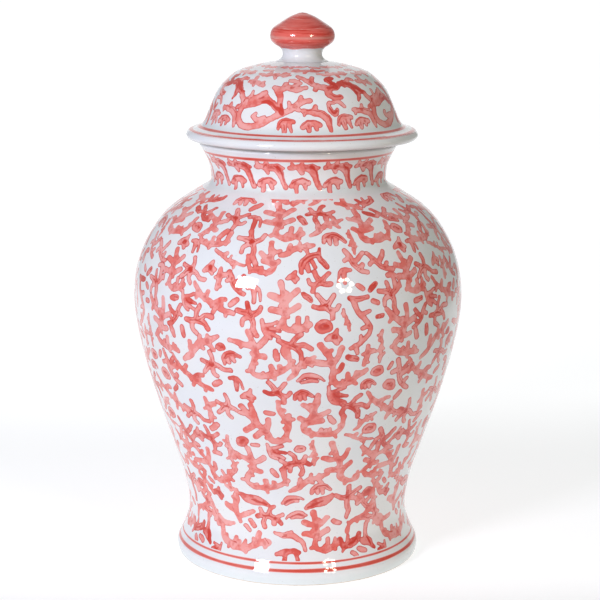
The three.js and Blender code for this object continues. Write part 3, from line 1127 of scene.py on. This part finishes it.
        (MID, [(1, 15, 2.3), (0, 8, 2.3), (0, 2, 2.8)]),
        (DEEP, [(-4, -1, 3.2), (2, -2, 4.2), (5, -6, 2.6), (8, -9, 1.8)]),
        (INK, [(0, 4, 0.5), (3, -2, 1.2), (4, -6, 0.7)]),
    ],
    "gable": [
        (MID, [(-22, -6, 2.2), (-20, 2, 2.2), (-11, 7, 2.6), (0, 6, 3.2), (8, 5, 2.8), (16, 1, 2.6),
               (24, -4, 2.4)]),
        (MID, [(-5, 9, 2.6), (3, 14, 2.8), (11, 12, 2.4)]),
        (INK, [(-4, 7, 0.5), (2, 5, 0.7), (8, 5, 0.5)]),
    ],
    "sweep": [
        (MID, [(-8, 28, 1.5), (-6, 18, 2.4), (-2, 8, 2.8), (2, -2, 3), (4, -8, 2.8)]),
        (INK, [(-4, 12, 0.4), (1, 0, 0.5)]),
    ],
    "blob": [
        (MID, [(-7, 2, 3.2), (0, 0, 3.6), (3, 7, 3.2), (4, 13, 3)]),
        (MID, [(1, 0, 2.8), (3, -6, 2.2), (5, -11, 2)]),
        (PALE, [(4, -7, 2.2), (12, -3, 2.3), (18, 0, 2.2)]),
    ],
    # The neck's frieze: an arm that drops a leg, over a half shell with drips.
    "frieze": [
        (MID, [(-6.5, 7.2, 2.2), (-1, 8.2, 2.7), (5, 7.4, 3.1), (10.5, 5.8, 3.6), (13, 1.4, 2.9),
               (14.6, -4, 2.3), (17, -9.6, 2.3)]),
        (MID, [(-4, 8, 2.3), (-5, 11.4, 1.7)]),
        (MID, [(2, 8, 2.6), (3, 11.8, 1.9)]),
        (PALE, [(1, 6, 2.4), (3, 2.6, 1.9)]),
        (DEEP, [(4, 8, 2.4), (10.5, 7.8, 3), (13.4, 3, 2.2)]),
        (DEEP, [(11, 9, 2.4), (16, 7, 1.8)]),
        (PALE, [(-5.4, -8.2, 2), (-2.4, -5.2, 2.7), (3, -4.2, 2.9), (8, -5.8, 2.3)]),
        (PALE, [(-1.8, -6, 2.4), (-1.4, -13, 1.9)]),
        (PALE, [(4.8, -6, 2.3), (6, -10.4, 1.6)]),
        (INK, [(-5, -6, 0.6), (-1, -3.2, 0.6), (4, -2.2, 0.6), (8.5, -4, 0.5)]),
        (INK, [(9, 9, 0.7), (13.8, 4.6, 0.8), (15.2, -2, 0.6), (16.6, -7.4, 0.5)]),
    ],
    # Shapes for the lid.
    "scroll": [
        (MID, [(20, -3, 2.8), (13, -7, 2.8), (5, -12, 2.9), (-6, -15, 3), (-14, -13, 3),
               (-17.5, -7, 2.8), (-16, 0, 2.8), (-13, 7, 3)]),
        (PALE, [(-14, 5, 2.8), (-19, 11, 2.4)]),
        (PALE, [(-13, 6, 2.8), (-9, 10, 2.2), (-8.5, 15, 1.6)]),
        (MID, [(-12, 6, 2.8), (-3.5, 10, 2.6), (3, 14, 2.7)]),
        (DEEP, [(-21, 1, 2), (-14, 2.5, 2.6), (-6, 4, 2.9), (2.5, 7, 2.8), (8, 7.5, 3),
                (14.5, 2.5, 2.6), (18, 0, 2.6)]),
        (MID, [(7, 8, 2.4), (5, 11, 2.2)]),
        (PALE, [(7, -7, 2.2), (1, -8.5, 2.4), (-3, -6, 2.2), (-1, -4, 1.8)]),
        (DEEP, [(21, -2.5, 2.4), (18, 3.5, 2.3), (16.5, 11, 2.7), (12, 17.5, 3)]),
        (MID, [(9, 20, 2.3), (14, 17.5, 3.2), (20, 20, 3), (27, 18, 3.2), (34, 20, 2.2)]),
        (MID, [(16, 18, 2.4), (17, 24, 2.1)]),
        (MID, [(23, 20, 2.4), (28, 24.5, 1.9)]),
        (PALE, [(22, -2.5, 2.8), (28, 1, 2.6), (34, 6.5, 2.8), (41, 8, 2.1)]),
        (PALE, [(27, 1, 2.4), (25, 6, 2)]),
        (PALE, [(30, 3, 2.4), (34, 0, 1.9)]),
        (PALE, [(34, 6, 2.4), (33, 11, 1.8)]),
        (INK, [(16, 2, 1.2), (21, -2.5, 2), (18.5, 5, 1)]),
        (INK, [(2, 6, 0.8), (8, 6.5, 1.6), (13, 3.5, 1.2), (17, 0, 1)]),
    ],
    "dragon": [
        (MID, [(-12, 3.4, 2), (-6, 2.6, 2.6), (2, 1, 3.3), (7, -3, 3.2), (8.5, -8.5, 2.6),
               (9.5, -13, 1.8)]),
        (MID, [(-3, 3, 2.4), (-2, 7, 2)]),
        (PALE, [(-11, 2, 1.7), (-11, 0, 1.4)]),
        (PALE, [(-13, -10, 2.2), (-10, -7.5, 2.8), (-5, -6.5, 2.8), (1, -8, 2.2)]),
        (PALE, [(-8, -8, 2.4), (-8, -13, 2)]),
        (PALE, [(-3, -7, 2.2), (-2, -11.5, 1.7)]),
        (INK, [(-13, -8.4, 0.5), (-9, -5.2, 0.5), (-4, -4.4, 0.5), (1, -6.2, 0.5)]),
        (INK, [(-8, -8, 0.5), (-8, -11, 0.5)]),
        (INK, [(-9, 4.2, 0.5), (0, 3.4, 0.5), (8, -1, 0.5), (10, -7, 0.5)]),
    ],
    "curl": [
        (MID, [(0, 5, 1.6), (-4, 4, 1.7), (-3.5, -1, 2.4), (0, -5, 2.1), (2.4, -1, 1.6)]),
        (PALE, [(0, 5, 1.6), (5, 5, 1.8), (9, 1, 1.6)]),
        (INK, [(-4, 1, 0.9), (-1, -4, 1.2), (2, -2, 0.8)]),
    ],
    "spur": [
        (PALE, [(-20, 13, 2), (-13, 7, 2.7), (-6, 1, 3), (2.5, -2.5, 3.8), (4, -9, 3.2),
                (9.5, -11.5, 2.7), (15, -11.5, 2.2)]),
        (MID, [(-10, 5, 2.6), (-8, 11, 2.2)]),
        (MID, [(-5, 1, 2.6), (-8, -4, 2)]),
        (DEEP, [(2, -2, 3), (12, -1, 3), (8, 4, 2.7), (4.5, 8, 2.8), (10, 10, 2.2)]),
        (DEEP, [(11, -1, 2.6), (17, 2, 2.4), (20, 0, 1.8)]),
        (INK, [(4, -1.5, 1.2), (12, -1, 1.7), (8, 4, 1.1), (5, 8, 0.8)]),
        (INK, [(4, -8, 0.5), (10, -11, 0.7), (15, -11, 0.8)]),
    ],
    "leaf": [
        (DEEP, [(-10, 5, 2.2), (-4, 4, 3.8), (3, -1, 3.9), (9, -6, 2.6), (13, -7, 1.6)]),
        (MID, [(-3, 4, 2.8), (1, 9, 2.2), (6, 8, 1.8)]),
        (DEEP, [(2, -2, 3.2), (4, -10, 2.2), (2, -14, 1.5)]),
        (INK, [(-6, 5, 1), (0, 2.4, 2.2), (6, -3, 1.8), (10, -6, 1)]),
        (INK, [(0, 0, 0.9), (3, -8, 0.7)]),
    ],
    "fanlet": [
        (MID, [(-6, -2, 1.6), (-4, 3, 2), (1, 4, 2.2), (5, 3, 1.7)]),
        (PALE, [(-2, 1, 2.2), (-1, -5, 1.7)]),
        (PALE, [(2, 1, 2), (4, -4, 1.4)]),
        (INK, [(-6, -1, 0.4), (-3, 4, 0.5), (3, 4.4, 0.5)]),
        (INK, [(-2, 1, 0.4), (-1, -3, 0.4)]),
    ],
    "streak": [
        (PALE, [(-12, 4, 1.5), (-5, 1, 2.2), (3, 2, 2.2), (10, -1, 1.9), (15, -1, 1.2)]),
        (MID, [(-4, 1, 2.1), (-2, 6, 1.6)]),
        (MID, [(2, 2, 2), (4, -4, 1.6)]),
        (MID, [(8, 0, 1.9), (10, 4, 1.4)]),
    ],
}

STROKES = {name: budded(name) for name in MOTIFS}


# ---------------------------------------------------------------- layouts

# The belly's quarter turn: (motif, azimuth in degrees, arc in millimetres, turn, size, mirror),
# without the last ones where they are 0, 1 and 1. The places were read off the photo, unrolled
# under a measuring grid, and some were then moved by a few millimetres.
QUARTER = [
    # base
    ("boat", -33, 24), ("arch", -2, 17), ("fan", -2, 33), ("crown", 25, 25, 0, 0.95),
    ("drop", 37, 24, 0, 0.9), ("gable", 37, 38, 0, 0.8), ("hand", -42, 17, 0, 0.7, -1),
    ("sweep", -47, 43, 0, 0.9), ("pill", 29, 17, -20, 0.8), ("bush", 10, 38, 0, 0.9),
    ("pill", -23, 41, -35, 0.9), ("pill", 20, 43, -5), ("blob", -33, 52), ("walker", -14, 54),
    ("eye", 0, 51, 10, 0.8, -1), ("lens", -24, 63), ("lens", 14, 66, 10, 0.95, -1),
    ("eye", -3, 65, 15, 0.85), ("flag", -44, 66), ("stub", -32, 72, 0, 0.6),
    ("shell", 11, 75, 0, 0.9), ("star", 26, 63, 20, 1.1, -1), ("ring", 33, 67, 0, 0.8),
    ("fork", 36, 58, 10, 0.8),
    # waist and lower belly
    ("spray", -19, 100, 8), ("thorn", -43, 94, 12, 0.95), ("pill", -10, 91, -40),
    ("limb", 8, 84, 0, 1.1), ("mast", 18, 101, 15), ("crook", 34, 98, 0, 0.8),
    ("stub", 40, 74, -25, 0.9), ("walker", 0, 101, 0, 1.1, -1), ("ring", 1, 112, 0, 0.7),
    ("chain", -28, 105, 0, 1.2), ("pill", -36, 104, 15), ("ring", -21, 114, 30, 0.9),
    ("hand", -9, 115), ("chain", 6, 110, 5, 0.8), ("flag", -46, 124, 10, 1.1), ("sprite", -37, 121),
    ("lace", 25, 118, 5), ("fork", 38, 117, 0, 0.9), ("ring", 29, 130), ("pill", 31, 112, 80, 0.9),
    # belly
    ("cradle", -14, 137, 18), ("star", -27, 153, 55), ("stub", -32, 146, -60),
    ("pill", -34, 127, 55, 1.3), ("twins", 6, 149, -10), ("pill", -9, 147, 10),
    ("pill", 15, 142, -35), ("runner", 22, 153, 0, 1.1), ("trail", 34, 149, 30, 0.95),
    ("limb", 25, 140, 10, 0.7), ("pill", 38, 160, 60), ("star", 44, 136, 50), ("flag", -18, 161),
    ("sprite", -10, 168, 20), ("hand", 14, 163, 0, 1.1), ("shell", 4, 165, 0, 0.8),
    ("pill", -31, 169, 45, 1.1), ("legs", -22, 172), ("branch", -39, 171, 24, 0.95),
    ("star", -29, 188, 60), ("eye", 4, 180), ("thorn", 12, 194), ("shell", 24, 172, 0, 0.7),
    ("chain", 27, 201, 0, 0.9), ("ring", 27, 184, 0, 0.9), ("fork", 39, 178, -10),
    ("pill", 36, 186, 80, 0.8), ("pill", 41, 186, 70, 0.8), ("stub", 23, 195, -75, 0.8),
    ("spray", -14, 205, 20), ("shell", -24, 195, 15, 0.9), ("limb", -31, 201, 5, 1.4),
    ("ring", -27, 203, 0, 0.6), ("pill", -7, 198, -60, 1.1), ("seed", 19, 196, 0, 1.1),
    ("crook", 37, 214), ("limb", 3, 191, 15, 0.9), ("pill", -41, 212, -60, 1.1),
    ("pill", 43, 211, -50, 1.1), ("fork", -46, 226, 0, 0.7, -1), ("runner", -1, 208, 0, 1.1),
    ("flag", 12, 213, 0, 1.1), ("chain", 16, 227, 15, 0.6), ("bracket", 21, 236), ("hand", -8, 219),
    ("runner", -36, 221, 25, 1.1), ("branch", -28, 236, 28, 0.9), ("hand", -40, 236),
    ("star", -18, 233), ("bush", -4, 240), ("ring", 9, 225, 0, 1.1), ("pill", -24, 240, 60, 1.1),
    ("seed", 3, 246, -20), ("sprite", 9, 239, 20), ("star", 30, 241), ("seed", -46, 243, 30),
    # shoulder
    ("legs", -15, 245, 0, 1.1), ("fork", -23, 256, 0, 0.7), ("stub", -28, 256, -70, 0.8),
    ("star", -40, 263, 50), ("flag", -32, 265, 10), ("flag", -1, 261, 0, 0.8),
    ("sprite", 8, 259, -30, 0.9, -1), ("seed", 26, 250, 60), ("fork", 21, 271, 0, 0.8),
    ("fork", 29, 269, 15, 0.8), ("legs", 34, 255, 0, 1.1), ("bush", 41, 261, 0, 0.85),
    ("legs", 17, 262, 0, 1, -1), ("lace", -25, 274, 0, 1.1), ("legs", -41, 281, 0, 0.9),
    ("twins", -10, 278, 0, 0.7, -1), ("claw", 5, 272), ("limb", 0, 282, -10, 0.9),
    ("star", -20, 290, 0, 1.1), ("spray", -37, 304, 0, 0.8), ("pill", -28, 294, 70, 1.2),
    ("shell", 14, 292, -10), ("chain", 21, 289, 0, 0.7), ("flag", 43, 283, 0, 1.1),
    ("twins", 28, 306, 0, 0.9), ("legs", -19, 308, 0, 1.1), ("bush", -8, 313),
    ("seed", 1, 311, -40, 1.1), ("limb", 11, 302), ("seed", 36, 311, -10, 1.1), ("walker", 8, 320),
    ("fork", 43, 312, 10, 0.75), ("ring", 44, 297, -30, 0.9), ("sprite", -29, 311),
    ("shell", -28, 326), ("pill", -21, 326, 65, 1.4), ("crown", 38, 326, 0, 0.8), ("stub", 26, 328),
    ("stub", -12, 331), ("stub", 0, 331, 10, 0.8, -1), ("limb", 15, 330, 0, 0.8),
]

# The lid's quarter turn, from the brim line up to the knob, placed from the photo in the same way.
LID_QUARTER = [
    ("scroll", -28, 36), ("dragon", 9.5, 32), ("dragon", 41, 32.5, 0, 0.9),
    ("fanlet", -9, 23, 0, 1.1), ("fanlet", 26, 26, 0, 1.1), ("curl", 21, 40),
    ("spur", 15, 57, 0, 0.9), ("leaf", 37, 56, 0, 0.9), ("streak", -21, 72, 8),
    ("streak", 27, 75, 8, 0.95), ("streak", 4, 76, -8, 0.95, -1), ("stub", -41, 60, 10, 0.8),
    ("pill", -1, 66, 10, 0.9), ("streak", -8, 86, 0, 0.75, -1), ("streak", 37, 86, 0, 0.75),
    ("pill", 15, 87, 0, 0.9),
]

FRIEZE_REPEATS = 17

# In millimetres: arc lengths between which each surface is painted, and between which gaps are
# filled, and the cell of its grid.
BELLY_ARCS = (12, 336)
BELLY_FILL = (16, 332)
BELLY_CELL = 1.04
NECK_ARCS = (1.5, 29.5)
NECK_CELL = 0.8
DOME_ARCS = (17, 92)
DOME_FILL = (24, 88)
DOME_CELL = 0.9

# How much less colour than usual the brush held.
NECK_LOAD = -0.24
DOME_LOAD = -0.08


# ---------------------------------------------------------------- painting

def coat(painting, layout, repeats, piece_name, body):
    """Paints a layout all round, and cuts it out as one piece."""
    for name, azimuth, arc, *rest in layout:
        for k in range(repeats):
            painting.place(name, azimuth + 360 * k / repeats, arc, *rest)
    painting.shells(piece_name, body).data.materials.append(CORAL_PAINT)


def paint_all():
    """The belly in quarters, which keeps each piece light; the neck and the lid in one each."""
    quarter = FULL_TURN / QUARTERS
    belly = filled(eased(QUARTER, BODY, QUARTERS), BODY, QUARTERS, *BELLY_FILL)
    for k in range(QUARTERS):
        painting = Painting(BODY, quarter * (k - 0.5), quarter, *BELLY_ARCS, BELLY_CELL)
        coat(painting, belly, QUARTERS, f"jar_coral_{k + 1}", "jar")
    painting = Painting(NECK, -math.pi, FULL_TURN, *NECK_ARCS, NECK_CELL, NECK_LOAD)
    coat(painting, [("frieze", 0, 16)], FRIEZE_REPEATS, "neck_coral", "jar")
    painting = Painting(DOME, -math.pi, FULL_TURN, *DOME_ARCS, DOME_CELL, DOME_LOAD)
    dome = filled(eased(LID_QUARTER, DOME, QUARTERS), DOME, QUARTERS, *DOME_FILL)
    coat(painting, dome, QUARTERS, "lid_coral", "lid")


# ---------------------------------------------------------------- stage, lights and camera

# The strengths of the sweep, the sky and the two lights started as the rounded answer of a
# least-squares fit of one-light renders to the photo's whites, and were then changed.
# Patches of the sweep that glow: (limits across), (limits in depth), strength. Brightest where
# the camera sees the paper, dimmer all round, so that little light comes up at the jar's sides.
SWEEP_GLOW = (
    ((-0.5, 0.5), (-0.2, 0.4), 0.70),
    ((-1.0, 1.0), (0.4, 9), 0.82),
    ((-9, -0.5), (-9, 0.4), 0.13),
    ((0.5, 9), (-9, 0.4), 0.05),
    ((-0.5, 0.5), (-9, -0.2), 0.12),
    ((-9, -1.0), (0.4, 9), 0.33),
    ((1.0, 9), (0.4, 9), 0.24),
)
SWEEP_FRONT = -4.0
SWEEP_WALL = 3.0
SWEEP_CORNER = 0.8
SWEEP_HEIGHT = 4.0
SWEEP_HALF = 5
SIDE_EDGE = 0.22
DEPTH_EDGE = 0.15
SWEEP_TINT = (0.985, 0.99, 1.0)
SKY = (
    ((0, 0, 1), (0.165, 0.195, 0.195)),
    ((-1, 0, 0), (0.105, 0.105, 0.11)),
    ((1, 0, 0), (0.08, 0.08, 0.078)),
    ((0, -1, 0), (0.12, 0.12, 0.12)),
    ((0, 1, 0), (0.3, 0.3, 0.3)),
)

# Lights face the belly. Azimuth 0 is in front of the jar and grows to the right, in degrees.
LIGHT_DISTANCE = 1.5
LIGHT_AIM = 0.7
KEY_PLACE = (-36, 21.5)
KEY_SIZE = (0.34, 0.22)
KEY_POWER = 15
KEY_COLOUR = (0.87, 0.87, 1.0)
UMBRELLA_PLACE = (32, 20.5)
UMBRELLA_PANELS = 6
UMBRELLA_SPREAD = 4.6
UMBRELLA_PANEL = (0.075, 0.075)
UMBRELLA_POWER = 5.0
UMBRELLA_COLOUR = (1.0, 0.88, 0.68)


def within(tree, value, low, high, edge):
    """A patch between two limits with soft edges."""
    return times(tree, ranged(tree, value, low - edge, low + edge),
                 ranged(tree, value, high - edge, high + edge, 1.0, 0.0))


def summed(tree, total, share, colour):
    """Adds a colour, taken by a share, to a running total."""
    scaled = add(tree, "ShaderNodeVectorMath", operation="SCALE")
    scaled.inputs[0].default_value = colour
    tree.links.new(share, scaled.inputs["Scale"])
    if total is None:
        return scaled.outputs[0]
    both = add(tree, "ShaderNodeVectorMath", operation="ADD")
    tree.links.new(total, both.inputs[0])
    tree.links.new(scaled.outputs[0], both.inputs[1])
    return both.outputs[0]


def make_stage():
    """A seamless pale sweep: floor, round corner and wall in one sheet."""
    corner = rounded((SWEEP_WALL - SWEEP_CORNER, SWEEP_CORNER), SWEEP_CORNER, 270, 360, 16)
    path = np.vstack([[(SWEEP_FRONT, 0)], corner, [(SWEEP_WALL, SWEEP_HEIGHT)]])
    vertices = [(x, y, z) for y, z in path for x in (-SWEEP_HALF, SWEEP_HALF)]
    faces = [(2 * i, 2 * i + 1, 2 * i + 3, 2 * i + 2) for i in range(len(path) - 1)]
    mesh = bpy.data.meshes.new("sweep")
    mesh.from_pydata(vertices, [], faces)
    mesh.shade_smooth()
    sweep = bpy.data.objects.new("sweep", mesh)
    bpy.context.scene.collection.objects.link(sweep)
    material, tree, shader = new_material("sweep_paper")
    shader.inputs["Roughness"].default_value = 0.9
    shader.inputs["Specular IOR Level"].default_value = 0.0
    shader.inputs["Base Color"].default_value = (0.5, 0.5, 0.5, 1)
    place = add(tree, "ShaderNodeSeparateXYZ")
    tree.links.new(add(tree, "ShaderNodeTexCoord").outputs["Object"], place.inputs[0])
    total = None
    for (left, right), (front, back), strength in SWEEP_GLOW:
        patch = times(tree, within(tree, place.outputs["X"], left, right, SIDE_EDGE),
                      within(tree, place.outputs["Y"], front, back, DEPTH_EDGE))
        total = summed(tree, total, patch, [strength * tint for tint in SWEEP_TINT])
    tree.links.new(total, shader.inputs["Emission Color"])
    shader.inputs["Emission Strength"].default_value = 1.0
    sweep.data.materials.append(material)


def softbox(name, shape, place, size, power, colour):
    """A flat light at (azimuth, elevation), facing the belly."""
    light = bpy.data.lights.new(name, "AREA")
    light.shape = shape
    light.size = size[0]
    if shape == "RECTANGLE":
        light.size_y = size[1]
    light.energy = power
    light.color = colour
    lamp = bpy.data.objects.new(name, light)
    bpy.context.scene.collection.objects.link(lamp)
    azimuth, elevation = math.radians(place[0]), math.radians(place[1])
    out = Vector((math.sin(azimuth) * math.cos(elevation),
                     -math.cos(azimuth) * math.cos(elevation), math.sin(elevation)))
    belly = Vector((0, 0, (JAR_LOW.z + JAR_HIGH.z) * LIGHT_AIM))
    lamp.location = belly + out * LIGHT_DISTANCE
    lamp.rotation_mode = "QUATERNION"
    lamp.rotation_quaternion = (-out).to_track_quat("-Z", "Y")


def light_scene():
    """One softbox on the left, six discs for an umbrella on the right, and a soft sky."""
    softbox("key_softbox", "RECTANGLE", KEY_PLACE, KEY_SIZE, KEY_POWER, KEY_COLOUR)
    for k in range(UMBRELLA_PANELS):
        turn = FULL_TURN * k / UMBRELLA_PANELS
        place = (UMBRELLA_PLACE[0] + UMBRELLA_SPREAD * math.cos(turn),
                 UMBRELLA_PLACE[1] + UMBRELLA_SPREAD * math.sin(turn))
        softbox(f"umbrella_{k + 1}", "DISK", place, UMBRELLA_PANEL,
                UMBRELLA_POWER / UMBRELLA_PANELS, UMBRELLA_COLOUR)
    world = bpy.data.worlds.new("studio")
    world.use_nodes = True
    tree = world.node_tree
    place = add(tree, "ShaderNodeTexCoord").outputs["Generated"]
    total = None
    for direction, colour in SKY:
        facing = add(tree, "ShaderNodeVectorMath", operation="DOT_PRODUCT")
        facing.inputs[1].default_value = direction
        tree.links.new(place, facing.inputs[0])
        total = summed(tree, total, ranged(tree, facing.outputs["Value"], 0, 1), colour)
    tree.links.new(total, tree.nodes["Background"].inputs["Color"])
    bpy.context.scene.world = world
    bpy.context.scene.view_settings.view_transform = "Standard"


CAMERA_DISTANCE = 1.475
CAMERA_HEIGHT = 0.522
CAMERA_PITCH = 11.7
CAMERA_ROLL = 0.2
CAMERA_LENS = 106.9
CAMERA_SIDE = 0.0017


def make_camera():
    """The photo's camera: a long lens, looking a little down at the jar."""
    data = bpy.data.cameras.new("camera")
    data.lens = CAMERA_LENS
    data.sensor_width = 36
    camera = bpy.data.objects.new("camera", data)
    bpy.context.scene.collection.objects.link(camera)
    camera.location = (CAMERA_SIDE, -CAMERA_DISTANCE, CAMERA_HEIGHT)
    tilt = Matrix.Rotation(math.radians(90 - CAMERA_PITCH), 4, "X")
    roll = Matrix.Rotation(math.radians(CAMERA_ROLL), 4, "Z")
    camera.rotation_mode = "QUATERNION"
    camera.rotation_quaternion = (tilt @ roll).to_quaternion()
    bpy.context.scene.camera = camera


# ---------------------------------------------------------------- the whole object

make_jar()
make_lid()
make_collar()
make_knob()
BODY = Surface(JAR_BODY)
NECK = Surface(JAR_NECK)
DOME = Surface(LID_DOME, LID_AXIS_X)
band("foot_bands", BODY, "jar", (3.9, 10.2), (3.2, 2.1), 0.3)
band("neck_band", NECK, "jar", (30,), (2.8,), 2.2)
band("lid_bands", DOME, "lid", (5.6, 13.6), (3.8, 3.1), 4.1)
paint_all()

make_stage()
light_scene()
make_camera()
